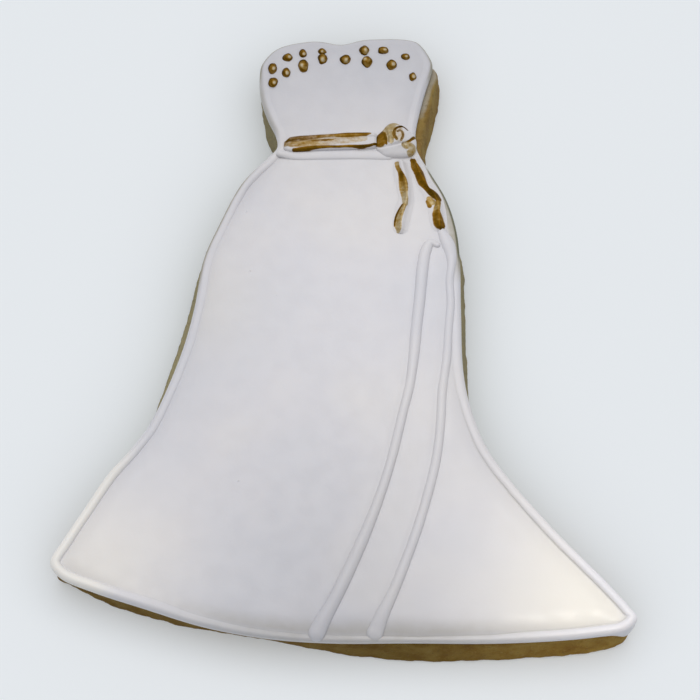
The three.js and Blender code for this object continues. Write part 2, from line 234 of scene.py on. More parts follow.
def lumps(points, scale, seed):
    """Smooth noise from -1 to 1 at points in millimetres."""
    shift = 13.7 * seed
    return np.array([
        noise.noise(Vector((x / scale + shift, y / scale, z / scale))) for x, y, z in points])


class Outline:
    """The gown's edge: evenly spaced points, outward normals, and how far rings may move in or out."""

    def __init__(self, stations):
        rows = evenly(catmull_rom(stations, True, 40), True, OUTLINE_STEP)
        self.points = rows[:, :2]
        self.foot = rows[:, 2]
        self.wall_top = np.maximum(self.foot - WALL_LEAN, -ICING_OVERHANG)
        self.crease = np.clip(rows[:, 3], 0, 1) ** CREASE_SOFTENING
        self.count = len(rows)
        length = self.count * OUTLINE_STEP
        swell = (
            0.07 * wobble_round(self.count, length, 6.0, 1)
            + 0.04 * wobble_round(self.count, length, 2.2, 2))
        x, y = self.points.T
        self.sunk = smoothstep(-46.0, -50.0, y) * np.exp(-(((x - SUNK_MIDDLE) / SUNK_REACH) ** 4))
        self.border = BORDER_WIDTH * (1 + swell - SUNK_NARROWING * self.sunk)
        self.lift = 0.06 * wobble_round(self.count, length, 5.0, 3) - SUNK_DROP * self.sunk
        tangent = np.roll(self.points, -1, axis=0) - np.roll(self.points, 1, axis=0)
        tangent /= np.linalg.norm(tangent, axis=1)[:, None]
        self.normal = np.column_stack([tangent[:, 1], -tangent[:, 0]])
        offset = self.points[None] - self.points[:, None]
        outward = (offset * self.normal[:, None]).sum(2)
        radius = (offset ** 2).sum(2) / (2 * np.maximum(np.abs(outward), 1e-9))
        self.room_inside = np.where(outward < -1e-6, radius, np.inf).min(1)
        self.room_outside = np.where(outward > 1e-6, radius, np.inf).min(1)

    def at(self, place, values):
        """The outline's values, one for each point, at places from 0 to 1 along it."""
        return np.interp(place * self.count, np.arange(self.count + 1), np.append(values, values[0]))

    def ring(self, distance):
        """The edge moved out by distance, or in where it is below zero."""
        distance = np.broadcast_to(np.asarray(distance, float), (self.count,))
        room = 0.9 * np.where(distance < 0, self.room_inside, self.room_outside)
        moved = np.sign(distance) * soft_min(np.abs(distance), room)
        return self.points + self.normal * moved[:, None]

    def inset_of(self, points):
        """How far inside the edge each point lies."""
        return near_path(points, self.points, True)[0]


gown = Outline(GOWN)


# -------- meshes

def add_mesh(name, points, faces, attributes=None):
    """A smooth mesh object from points in millimetres, with named numbers at its points."""
    mesh = bpy.data.meshes.new(name)
    mesh.from_pydata([tuple(p) for p in np.asarray(points) * MM], [], [tuple(f) for f in faces])
    mesh.validate()
    for label, values in (attributes or {}).items():
        layer = mesh.attributes.new(label, "FLOAT", "POINT")
        layer.data.foreach_set("value", np.asarray(values, np.float32))
    mesh.shade_smooth()
    piece = bpy.data.objects.new(name, mesh)
    bpy.context.scene.collection.objects.link(piece)
    return piece


def ring_faces(rings, size):
    """Quads between neighbouring rings of size points, facing out if the points run
    counterclockwise as seen from the last ring."""
    faces = []
    for r in range(rings - 1):
        low = r * size
        high = (r + 1) * size
        for i in range(size):
            j = (i + 1) % size
            faces.append((low + i, low + j, high + j, high + i))
    return faces


def tube_faces(rings, size):
    """The same quads, with the first and the last ring closed."""
    last = (rings - 1) * size
    ends = [tuple(reversed(range(size))), tuple(last + i for i in range(size))]
    return ring_faces(rings, size) + ends


def with_height(ring, height):
    return np.column_stack([ring, np.broadcast_to(height, (len(ring),))])


def sideways(path):
    """The unit vector to the right of a path, in plan, at each of its points."""
    tangent = np.gradient(path[:, :2], axis=0)
    tangent /= np.maximum(np.linalg.norm(tangent, axis=1)[:, None], 1e-9)
    return np.column_stack([tangent[:, 1], -tangent[:, 0]])


def bead(path, half_width, half_height):
    """Points and faces of a piped bead round a path of x, y, z rows, with rounded ends."""
    sides = 20
    path = np.asarray(path, float)
    half_width = np.broadcast_to(half_width, (len(path),)).astype(float)
    half_height = np.broadcast_to(half_height, (len(path),)).astype(float)
    start = path[0] - path[1]
    end = path[-1] - path[-2]
    start /= np.linalg.norm(start)
    end /= np.linalg.norm(end)
    turns = np.radians([86, 70, 52, 34, 17])
    path = np.vstack(
        [path[0] + start * half_width[0] * math.sin(turn) for turn in turns] + [path]
        + [path[-1] + end * half_width[-1] * math.sin(turn) for turn in turns[::-1]])
    shrink = np.concatenate([np.cos(turns), np.ones(len(half_width)), np.cos(turns[::-1])])
    extra = len(turns)
    half_width = np.pad(half_width, extra, "edge") * shrink
    half_height = np.pad(half_height, extra, "edge") * shrink
    right = sideways(path)
    angles = -2 * np.pi * np.arange(sides) / sides
    points = []
    for centre, out, wide, tall in zip(path, right, half_width, half_height):
        for angle in angles:
            across = wide * math.cos(angle)
            points.append((centre[0] + out[0] * across, centre[1] + out[1] * across,
                           centre[2] - tall * math.sin(angle)))
    return points, [face[::-1] for face in tube_faces(len(path), sides)]


def joined(parts):
    """Several (points, faces) as one."""
    points, faces = [], []
    for some_points, some_faces in parts:
        base = len(points)
        points.extend(some_points)
        faces.extend(tuple(base + i for i in face) for face in some_faces)
    return points, faces


# -------- the icing's surface

DRAPE_STEP = 0.3
DRAPE_GROOVE = 0.10  # depth of the dip where a drape line meets the flood
GROOVE_PLACE = 0.85  # and how far from the line's middle it is
drape_paths = [
    evenly(catmull_rom(rows, False, 12), False, DRAPE_STEP) for rows in (DRAPE_LEFT, DRAPE_RIGHT)]


def icing_height(points):
    """Height of the icing above the biscuit at points in plan: the border, its crease, the flood."""
    inset, place = near_path(points, gown.points, True)
    half = gown.at(place, gown.border) / 2
    border = BORDER_HEIGHT + gown.at(place, gown.lift)
    crease = border - CREASE_DEPTH * gown.at(place, gown.crease)
    outer = EDGE_HEIGHT + (border - EDGE_HEIGHT) * np.sqrt(1 - np.clip(1 - inset / half, 0, 1) ** 2)
    inner = crease + (border - crease) * np.sqrt(1 - np.clip(inset / half - 1, 0, 1) ** 2)
    up = np.clip((inset - 2 * half) / (ROLL_OFF - 2 * half), 0, 1)
    flood = crease + (FLOOD_HEIGHT - crease) * (1 - (1 - up) ** 2.4)
    height = np.where(inset < half, outer, np.where(inset < 2 * half, inner, flood))
    level = np.column_stack([points, np.zeros(len(points))])
    height += 0.05 * lumps(level, 11.0, 1) * up + 0.025 * lumps(level, 4.0, 2) * up
    for path in drape_paths:
        beside = near_path(points, path[:, :2])[0] - GROOVE_PLACE
        height -= DRAPE_GROOVE * up * np.exp(-((beside / 0.35) ** 2))
    return height


def icing_level(points):
    """Top of the icing above the floor."""
    return BISCUIT_TOP + icing_height(np.asarray(points, float))


# -------- materials

class Material:
    """A procedural material: short helpers over its node tree, working in millimetres."""

    def __init__(self, name):
        self.material = bpy.data.materials.new(name)
        self.material.use_nodes = True
        self.tree = self.material.node_tree
        self.shader = self.tree.nodes["Principled BSDF"]
        coordinates = self.add("TexCoord")
        scale = self.add("VectorMath")
        scale.operation = "SCALE"
        scale.inputs["Scale"].default_value = 1 / MM
        self.tree.links.new(coordinates.outputs["Object"], scale.inputs[0])
        self.place = scale.outputs["Vector"]

    def add(self, kind):
        return self.tree.nodes.new("ShaderNode" + kind)

    def put(self, value, socket):
        """Links a socket to a socket, or sets its plain value."""
        if isinstance(value, bpy.types.NodeSocket):
            self.tree.links.new(value, socket)
        else:
            socket.default_value = value

    def noise(self, size, detail=3.0, roughness=0.5, distortion=0.0, stretch=None):
        """Noise with lumps of about size millimetres."""
        place = self.place
        if stretch:
            mapping = self.add("Mapping")
            self.put(place, mapping.inputs["Vector"])
            mapping.inputs["Scale"].default_value = stretch
            place = mapping.outputs["Vector"]
        texture = self.add("TexNoise")
        self.put(place, texture.inputs["Vector"])
        texture.inputs["Scale"].default_value = 1 / size
        texture.inputs["Detail"].default_value = detail
        texture.inputs["Roughness"].default_value = roughness
        texture.inputs["Distortion"].default_value = distortion
        return texture.outputs["Fac"]

    def cells(self, size):
        """Distance to the nearest of points scattered about size millimetres apart."""
        texture = self.add("TexVoronoi")
        self.put(self.place, texture.inputs["Vector"])
        texture.inputs["Scale"].default_value = 1 / size
        return texture.outputs["Distance"]

    def ramp(self, value, stops):
        """A colour ramp: stops are (place, colour) pairs."""
        node = self.add("ValToRGB")
        self.put(value, node.inputs["Fac"])
        elements = node.color_ramp.elements
        while len(elements) < len(stops):
            elements.new(0.5)
        for element, (position, colour) in zip(elements, stops):
            element.position = position
            element.color = colour
        return node.outputs["Color"]

    def math(self, operation, a, b=0.0, clamp=False):
        node = self.add("Math")
        node.operation = operation
        node.use_clamp = clamp
        self.put(a, node.inputs[0])
        self.put(b, node.inputs[1])
        return node.outputs["Value"]

    def range(self, value, low, high, to_low=0.0, to_high=1.0):
        """A smooth step in value, from to_low where it is low to to_high where it is high."""
        node = self.add("MapRange")
        node.interpolation_type = "SMOOTHSTEP"
        for number, socket in zip((value, low, high, to_low, to_high), node.inputs):
            self.put(number, socket)
        return node.outputs["Result"]

    def mix(self, amount, a, b):
        """Colour a, with amount of it replaced by colour b."""
        node = self.add("Mix")
        node.data_type = "RGBA"
        self.put(amount, node.inputs["Factor"])
        self.put(a, node.inputs[6])
        self.put(b, node.inputs[7])
        return node.outputs[2]

    def attribute(self, label):
        node = self.add("Attribute")
        node.attribute_name = label
        return node.outputs["Fac"]

    def bump(self, height, depth, after=None):
        """Bumps of depth millimetres, for a height from 0 to 1."""
        node = self.add("Bump")
        node.inputs["Distance"].default_value = depth * MM
        self.put(height, node.inputs["Height"])
        if after:
            self.put(after, node.inputs["Normal"])
        return node.outputs["Normal"]

    def set(self, **sockets):
        for label, value in sockets.items():
            self.put(value, self.shader.inputs[label.replace("_", " ")])


def srgb(red, green, blue):
    """An opaque colour from 0 to 255 screen values."""
    def linear(value):
        value /= 255
        return value / 12.92 if value <= 0.04045 else ((value + 0.055) / 1.055) ** 2.4
    return (linear(red), linear(green), linear(blue), 1.0)


ICING_COOL = srgb(207, 207, 213)
ICING_PLAIN = srgb(210, 209, 214)
ICING_WARM = srgb(214, 212, 214)
# Painted light and shade on the flood: warm light, a highlight, crease shade, beige mixed with shade,
# and an edge shadow.
ICING_WARM_LIGHT = srgb(221, 217, 208)
ICING_HIGHLIGHT = srgb(228, 226, 221)
ICING_CREASE_SHADE = srgb(176, 174, 168)
ICING_BEIGE_AND_SHADE = srgb(168, 163, 150)
ICING_EDGE_SHADOW = srgb(88, 88, 58)
ICING_RADIUS = (1.0 * MM, 0.9 * MM, 0.8 * MM)

# Gold paint, from a pale wash to a thick stroke.
GOLD = [
    (0.0, srgb(202, 190, 166)), (0.2, srgb(184, 168, 132)), (0.42, srgb(158, 128, 66)),
    (0.7, srgb(122, 86, 2)), (1.0, srgb(80, 58, 0)),
]

BISCUIT_BAKE = [
    (0.3, srgb(124, 88, 32)), (0.45, srgb(140, 108, 44)), (0.6, srgb(156, 127, 62)),
    (0.75, srgb(147, 125, 66)),
]
BISCUIT_OLIVE = srgb(146, 142, 114)
BISCUIT_SPECKLE = srgb(172, 144, 84)
BISCUIT_DARK = srgb(78, 54, 24)
BISCUIT_HEM_DARK = srgb(72, 56, 14)
BISCUIT_FILM = srgb(190, 186, 174)
BISCUIT_RADIUS = (1.0 * MM, 0.5 * MM, 0.2 * MM)


def icing_colour(look):
    """Dried white icing, a little cooler or warmer from place to place."""
    drift = look.noise(24.0, 2.0)
    return look.ramp(drift, [(0.35, ICING_COOL), (0.5, ICING_PLAIN), (0.66, ICING_WARM)])


def icing_relief(look, pits):
    """The fine, nearly smooth skin of dried icing, with a few burst bubbles."""
    normal = look.bump(look.noise(0.9, 3.0), 0.012)
    if pits:
        normal = look.bump(look.range(look.cells(5.5), 0.0, 0.045), 0.06, normal)
    return normal


def tinted_flood(look, colour):
    """The flood's tints over the white: painted warm light, a painted highlight, painted crease shade,
    beige where the icing is thinly spread and where shade is painted, and a painted edge shadow.
    """
    thinness_and_shade = look.attribute("thin_icing_and_shade")
    patchy = look.range(look.noise(2.0), 0.2, 0.7, 0.65, 1.0)
    beige = look.math("MULTIPLY", thinness_and_shade, patchy, clamp=True)
    painted_highlight = look.math("MULTIPLY", look.attribute("painted_highlight"), 0.8)
    painted_crease_shade = look.math("MULTIPLY", look.attribute("painted_crease_shade"), 0.5)
    # Past 1 the tint turns into a painted shadow line along the icing's edge.
    rim = look.range(thinness_and_shade, 1.0, 1.8, 0.0, 0.95)
    for amount, tint in (
        (look.attribute("painted_warm_light"), ICING_WARM_LIGHT), (painted_highlight, ICING_HIGHLIGHT), (painted_crease_shade, ICING_CREASE_SHADE),
        (beige, ICING_BEIGE_AND_SHADE), (rim, ICING_EDGE_SHADOW),
    ):
        colour = look.mix(amount, colour, tint)
    return colour


def make_icing_material(name, roughness, flooded):
    """White icing. The flood has burst bubbles and tints, with painted light and shade, that piped
    lines lack.
    """
    look = Material(name)
    colour = icing_colour(look)
    if flooded:
        colour = tinted_flood(look, colour)
    look.set(Base_Color=colour, Normal=icing_relief(look, flooded))
    look.set(Roughness=look.range(look.noise(2.5), 0.3, 0.7, roughness - 0.06, roughness + 0.06))
    look.set(Subsurface_Weight=0.25, Subsurface_Radius=ICING_RADIUS, Subsurface_Scale=1.0)
    look.set(Specular_IOR_Level=0.45)
    return look.material


def make_gilded_material():
    """White icing brushed with gold: gilt says how much paint, and tone how thick and dark it is."""
    look = Material("gilded_icing")
    streaks = look.noise(0.5, 4.0, 0.6, 0.4, stretch=(0.25, 1.0, 1.0))
    patches = look.noise(0.8, 4.0, 0.65)
    grain = look.math("ADD", look.math("MULTIPLY", streaks, 0.5), look.math("MULTIPLY", patches, 0.5))
    uneven = look.math("SUBTRACT", grain, 0.5)
    edge = look.math("ADD", look.attribute("gilt"), look.math("MULTIPLY", uneven, 0.9))
    cover = look.range(edge, 0.15, 0.85)
    depth = look.math("ADD", look.attribute("tone"), look.math("MULTIPLY", uneven, 1.1), clamp=True)
    look.set(Base_Color=look.mix(cover, icing_colour(look), look.ramp(depth, GOLD)))
    look.set(Metallic=look.math("MULTIPLY", cover, 0.35))
    look.set(Roughness=look.range(cover, 0.0, 1.0, 0.52, 0.5))
    look.set(Specular_IOR_Level=0.1)
    look.set(Normal=look.bump(grain, 0.05, icing_relief(look, False)))
    look.set(Subsurface_Weight=0.1, Subsurface_Radius=ICING_RADIUS, Subsurface_Scale=1.0)
    return look.material


def make_biscuit_material():
    """Baked dough: olive gold, browner in patches and darker along the hem, with crumb and small pits.
    """
    look = Material("biscuit")
    colour = look.ramp(look.noise(3.6, 5.0, 0.65), BISCUIT_BAKE)
    speckle = look.range(look.noise(0.55, 3.0), 0.58, 0.74)
    dark = look.range(look.noise(0.9, 4.0, 0.7), 0.56, 0.72)
    for amount, share, tint in (
        (look.attribute("olive"), 0.85, BISCUIT_OLIVE), (speckle, 0.45, BISCUIT_SPECKLE),
        (dark, 0.45, BISCUIT_DARK), (look.attribute("darker_at_hem"), 0.5, BISCUIT_HEM_DARK),
    ):
        colour = look.mix(look.math("MULTIPLY", amount, share), colour, tint)
    film = look.math("ADD", look.attribute("film"), look.math("SUBTRACT", look.noise(1.2, 4.0), 0.5))
    colour = look.mix(look.range(film, 0.1, 1.1, 0.0, 0.65), colour, BISCUIT_FILM)
    look.set(Base_Color=colour, Roughness=0.85, Specular_IOR_Level=0.12)
    crumb = look.bump(look.noise(0.5, 5.0, 0.65), 0.22)
    look.set(Normal=look.bump(look.range(look.cells(0.9), 0.0, 0.4), 0.12, crumb))
    look.set(Subsurface_Weight=0.05, Subsurface_Radius=BISCUIT_RADIUS, Subsurface_Scale=1.0)
    return look.material


flood_material = make_icing_material("flooded_icing", 0.42, True)
piped_material = make_icing_material("piped_icing", 0.5, False)
gilded_material = make_gilded_material()
biscuit_material = make_biscuit_material()


def finish_piece(piece, node, material):
    piece.data.materials.append(material)
    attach(piece, "root")
    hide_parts(node)


# -------- biscuit

def make_biscuit():
    """The cut slab: a spread foot, a crumbly wall and a rounded top edge with smears of icing."""
    top = BISCUIT_TOP
    profile = catmull_rom([
        (-3.0, 0.0), (-1.4, 0.0), (-0.75, 0.06), (-0.25, 0.3), (0.0, 0.8), (0.05, 2.2), (0.05, 4.6),
        (0.0, 5.7), (-0.3, 6.2), (-0.95, top - 0.01), (-1.8, top),
    ], False, 4)
    rows = []
    beyond = []
    for reach, height in profile:
        rise = min(max((height - 0.6) / 5.1, 0), 1)
        distance = gown.foot + (gown.wall_top - gown.foot) * rise + reach
        rows.append(with_height(gown.ring(distance), height))
        beyond.append(distance)
    points = np.vstack(rows)
    side = np.repeat(smoothstep(-1.0, -0.1, profile[:, 0]), gown.count)
    out = np.tile(gown.normal, (len(profile), 1))
    rough = 0.16 * lumps(points, 3.2, 3) + 0.11 * lumps(points, 1.2, 4) + 0.06 * lumps(points, 0.55, 5)
    ragged = 0.25 * lumps(points * (1, 1, 0.2), 2.6, 6) * smoothstep(1.6, 0.2, points[:, 2])
    points[:, :2] += out * (side * (rough + ragged))[:, None]
    film = smoothstep(1.35, 0.35, np.concatenate(beyond)) * smoothstep(5.2, 6.0, points[:, 2])
    film *= smoothstep(37.0, 42.0, points[:, 1]) * smoothstep(0.0, 6.0, points[:, 0])
    left = smoothstep(8.0, -8.0, points[:, 0])
    olive = 0.2 + 0.7 * left + smoothstep(34.0, 24.0, points[:, 1]) * (0.7 - 0.6 * left)
    olive *= smoothstep(-40.0, -15.0, points[:, 1])
    # Darker along the hem's wall.
    darker_at_hem = smoothstep(-38.0, -44.0, points[:, 1]) * smoothstep(38.0, 5.0, points[:, 0])
    tints = {"film": film, "olive": np.clip(olive, 0, 1), "darker_at_hem": darker_at_hem}
    piece = add_mesh("biscuit_body", points, tube_faces(len(rows), gown.count), tints)
    finish_piece(piece, "biscuit", biscuit_material)


# -------- icing

# Rings across the border, as shares of its width, closer together where the crease is.
BORDER_RINGS = [0.0, 0.02, 0.06, 0.13, 0.22, 0.34, 0.5, 0.64, 0.76, 0.86, 0.93, 0.97,
                1.0, 1.03, 1.08, 1.16, 1.28, 1.44, 1.65]


def inside_points(margin):
    """A loose triangular grid inside the edge, denser beside the drape lines."""
    low, high = gown.points.min(0), gown.points.max(0)
    pitch = 0.7
    columns = np.arange(low[0], high[0], pitch)
    rows = np.arange(low[1], high[1], pitch * math.sqrt(3) / 2)
    grid = np.array([(x + (k % 2) * pitch / 2, y) for k, y in enumerate(rows) for x in columns])
    distance, place = near_path(grid, gown.points, True)
    nearest = (place * gown.count).astype(int) % gown.count
    inside = ((grid - gown.points[nearest]) * gown.normal[nearest]).sum(1) < 0
    clear = np.min([near_path(grid, path[:, :2])[0] for path in drape_paths], axis=0) > 1.8
    grid = grid[inside & clear & (distance > margin + 0.3)]
    beside = np.vstack([
        path[:, :2] + sideways(path) * step
        for path in drape_paths for step in (-1.5, -1.15, -0.85, -0.55, 0.55, 0.85, 1.15, 1.5)])
    return np.vstack([grid, beside[gown.inset_of(beside) > margin]])


# Painted pools of warm light on the flood: x, y, reach and amount.
WARM_LIGHT_PATCHES = [(37.0, -48.0, 15.0, 0.8), (-38.0, -42.0, 12.0, 0.5), (-23.0, 4.0, 9.0, 0.35)]


def icing_tints(points):
    """Where the flood is beige because its icing is thinly spread and where shade is painted, and where
    it has a painted highlight, painted crease shade or painted warm light.

    Past 1, the beige gives way to a painted shadow line along the icing's edge."""
    inset, place = near_path(points[:, :2], gown.points, True)
    x, y = points[:, 0], points[:, 1]
    # The beige at the right hip is partly thinly spread icing and partly painted shade on the slope; on
    # the left bodice's flank it is painted shade.
    hip = (x > 10) * smoothstep(6.0, 14.0, y) * smoothstep(30.0, 27.0, y)
    flank = 0.6 * (x < 0) * smoothstep(34.0, 37.0, y) * smoothstep(49.0, 43.0, y)
    left_side = (x < 0) * smoothstep(4.0, 10.0, y) * smoothstep(30.0, 26.0, y)
    # A painted shadow line along the neckline, the left side and the hip's outer edge.
    rim = 1.28 * smoothstep(44.0, 48.0, y) + 1.28 * left_side
    thin_icing_and_shade = smoothstep(2.0, 0.9, inset) * hip + smoothstep(1.1, 0.1, inset) * flank
    thin_icing_and_shade += smoothstep(0.55, 0.15, inset) * rim
    thin_icing_and_shade += smoothstep(0.55, 0.18, inset) * hip
    # Painted shade on the sunk hem's slope and on its grey border.
    trough = 0.55 * np.exp(-(((inset - 1.9) / 0.9) ** 2))
    thin_icing_and_shade += gown.at(place, gown.sunk) * (trough + 0.35 * smoothstep(1.2, 0.8, inset))
    crease = gown.at(place, gown.crease)
    # A painted highlight along the border's top at the left hem corner.
    painted_highlight = smoothstep(1.7, 1.3, inset) * smoothstep(0.3, 0.8, crease) * smoothstep(-30.0, -36.0, x)
    # Painted shade in the crease between border and flood, on the right half.
    across = inset / gown.at(place, gown.border)
    painted_crease_shade = crease * np.exp(-(((across - 1.02) / 0.09) ** 2)) * (x > 0)
    # Painted pools of warm light, fading away from each patch's middle.
    painted_warm_light = np.zeros(len(points))
    for east, north, reach, amount in WARM_LIGHT_PATCHES:
        fade = np.exp(-((np.hypot(x - east, y - north) / reach) ** 2))
        painted_warm_light += amount * fade * smoothstep(1.2, 2.0, inset)
    return {"thin_icing_and_shade": thin_icing_and_shade, "painted_highlight": painted_highlight, "painted_crease_shade": painted_crease_shade, "painted_warm_light": painted_warm_light}


def make_icing():
    """The icing: a piped border that has partly run together with the smooth, slightly wavy flood."""
    corner = np.hypot(*(gown.points - SAG_CORNER).T)
    sag = SAG_DEPTH * np.exp(-((corner / SAG_REACH) ** 2))
    rings = [with_height(gown.ring(-0.62), BISCUIT_TOP)]
    for inset, height, share in ((0.45, 0.0, 1.0), (0.15, 0.08, 1.0), (0.04, 0.32, 0.7)):
        rings.append(with_height(gown.ring(-inset), BISCUIT_TOP + height - sag * share))
    for share in BORDER_RINGS:
        ring = gown.ring(-share * gown.border)
        rings.append(with_height(ring, icing_level(ring)))
    inner = rings.pop()[:, :2]
    plan = np.vstack([inner, inside_points(BORDER_RINGS[-1] * BORDER_WIDTH * 1.1)])
    cut = geometry.delaunay_2d_cdt([Vector(p) for p in plan], [], [tuple(range(gown.count))], 1, 1e-4)
    plan = np.array([tuple(p) for p in cut[0]])
    base = len(plan)
    points = np.vstack([np.column_stack([plan, icing_level(plan)])] + rings)
    faces = [tuple(face) for face in cut[2]]
    faces += [tuple(base + i for i in face) for face in ring_faces(len(rings), gown.count)]
    last = base + (len(rings) - 1) * gown.count
    for i in range(gown.count):
        j = (i + 1) % gown.count
        faces.append((last + i, last + j, j, i))
    faces.append(tuple(base + i for i in reversed(range(gown.count))))
    piece = add_mesh("icing_body", points, faces, icing_tints(points))
    finish_piece(piece, "icing", flood_material)


def make_drape(name, path, seed):
    """A line piped over the flood, from a puff or a hook at the hip to a blob on the hem."""
    plan, half_width = path[:, :2], path[:, 2]
    along = np.arange(len(path)) * DRAPE_STEP
    level = icing_level(plan)
    kernel = np.ones(5) / 5
    level = np.convolve(np.pad(level, 2, "edge"), kernel, "valid")
    half_height = 0.56 * np.sqrt(half_width / 0.72) + 0.04 * wobble(along, 4.0, seed + 1)
    half_width = half_width * (1 + 0.05 * wobble(along, 3.0, seed))
    points, faces = bead(np.column_stack([plan, level - 0.18]), half_width, half_height)
    piece = add_mesh(name, points, faces)
    finish_piece(piece, "icing", piped_material)


def make_pearls():
    """Fifteen small piped dots, brushed with gold that leaves one side of most of them unpainted, with
    a painted highlight there.
    """
    parts, gilt, tone = [], [], []
    columns, rows = 28, 14
    bare_highlight_place = 0.42  # from the middle, as a share of the reach
    foot_paint = 0.4
    for number, (x, y, half_width, half_length, facing, bare_and_highlight) in enumerate(PEARLS):
        base = icing_level([(x, y)])[0] - 0.05
        height = 0.08 + 0.36 * (half_width + half_length)
        facing = math.radians(facing)
        points = []
        for r in range(rows):
            fall = 0.5 * math.pi * max(r - 1, 0) / (rows - 2)
            flare = 1.10 if r == 0 else 1 + 0.06 * math.exp(-4 * fall)
            for c in range(columns):
                turn = 2 * math.pi * c / columns
                spot = Vector((math.cos(turn), math.sin(turn), number * 2.7 + fall))
                reach = flare * (1 + 0.22 * noise.noise(spot)) * math.cos(fall)
                across = reach * math.cos(turn)
                along = reach * math.sin(turn)
                curl = math.sin(2 * turn + 5 * fall + number) * math.cos(fall)
                rise = -0.02 if r == 0 else 0.12 + 0.88 * math.sin(fall) + 0.05 * curl
                points.append((x + half_width * across, y + half_length * along, base + height * rise))
                gap = math.hypot(
                    across - bare_highlight_place * math.cos(facing), along - bare_highlight_place * math.sin(facing))
                light = 1 - smoothstep(0.2 * bare_and_highlight, 1.3 * bare_and_highlight, gap)
                rim = smoothstep(0.45, 1.0, reach)
                # Darker towards each dot's edge and its upper left, and paler in the unpainted patch,
                # where a highlight is painted.
                depth = 0.64 + 0.2 * rim + 0.18 * (along - across) + 0.2 * curl - 0.5 * light
                gilt.append(foot_paint if r == 0 else 1.1 - 0.2 * light)
                tone.append(foot_paint if r == 0 else depth)
        parts.append((points, tube_faces(rows, columns)))
    points, faces = joined(parts)
    piece = add_mesh("pearls", points, faces, {"gilt": gilt, "tone": tone})
    finish_piece(piece, "icing", gilded_material)


# -------- trimmings at the waist

def painted(points, strokes):
    """How much gold paint lies at each point and how dark it is, from brush strokes in plan.

    A stroke is how full the brush is, then its rows of x, y, half width and tone."""
    gilt = np.zeros(len(points))
    tone = np.full(len(points), 0.4)
    plan = np.asarray(points)[:, :2]
    for strength, rows in strokes:
        path = evenly(catmull_rom(rows, False, 8), False, 0.12)
        distance, place = near_path(plan, path[:, :2])
        steps = np.arange(len(path))
        reach = np.interp(place * (len(path) - 1), steps, path[:, 2])
        depth = np.interp(place * (len(path) - 1), steps, path[:, 3])
        amount = strength * (1 - smoothstep(0.7, 1.2, distance / reach))
        over = np.clip(amount / np.maximum(strength, 0.01), 0, 1)
        tone = tone + (depth - tone) * over
        gilt = np.maximum(gilt * (1 - over) + amount, np.minimum(gilt, amount))
    return gilt, tone


STRIP_STEP = 0.12


def relief(name, node, rows, height_of, strokes, columns=44):
    """A painted strip of icing along rows of x, y and half width.

    height_of(across, along) is its height over the flood."""
    path = evenly(catmull_rom(rows, False, 12), False, STRIP_STEP)
    right = sideways(path)
    across = np.linspace(-1, 1, columns)
    along = np.linspace(0, 1, len(path))
    taper = np.sqrt(np.clip(np.minimum(along, 1 - along) / 0.05, 0.02, 1))
    points = []
    for centre, out, share, narrow in zip(path, right, along, taper):
        half_width = centre[2] * (0.55 + 0.45 * narrow)
        edge = np.sqrt(np.clip(1 - np.abs(across) ** 6, 0, 1))
        top = height_of(across, share) * edge * narrow
        points.append(np.column_stack([
            centre[0] + out[0] * across * half_width, centre[1] + out[1] * across * half_width, top]))
    points = np.vstack(points)
    points[:, 2] += 0.03 * lumps(points, 0.9, 11) * (points[:, 2] > 0.1)
    flood = np.minimum(icing_level(points[:, :2]), FLOOD_TOP) - 0.03
    points[:, 2] += flood
    faces = []
    for r in range(len(path) - 1):
        for c in range(columns - 1):
            here = r * columns + c
            faces.append((here, here + 1, here + columns + 1, here + columns))
    border = list(range(columns)) + [r * columns + columns - 1 for r in range(1, len(path))]
    border += [(len(path) - 1) * columns + c for c in range(columns - 2, -1, -1)]
    border += [r * columns for r in range(len(path) - 2, 0, -1)]
    foot = len(points)
    below = points[border].copy()
    below[:, 2] = flood[border] - 0.25
    points = np.vstack([points, below])
    for i in range(len(border)):
        j = (i + 1) % len(border)
        faces.append((border[j], border[i], foot + i, foot + j))
    faces.append(tuple(foot + i for i in reversed(range(len(border)))))
    gilt, tone = painted(points, strokes)
    piece = add_mesh(name, points, faces, {"gilt": gilt, "tone": tone})
    finish_piece(piece, node, gilded_material)


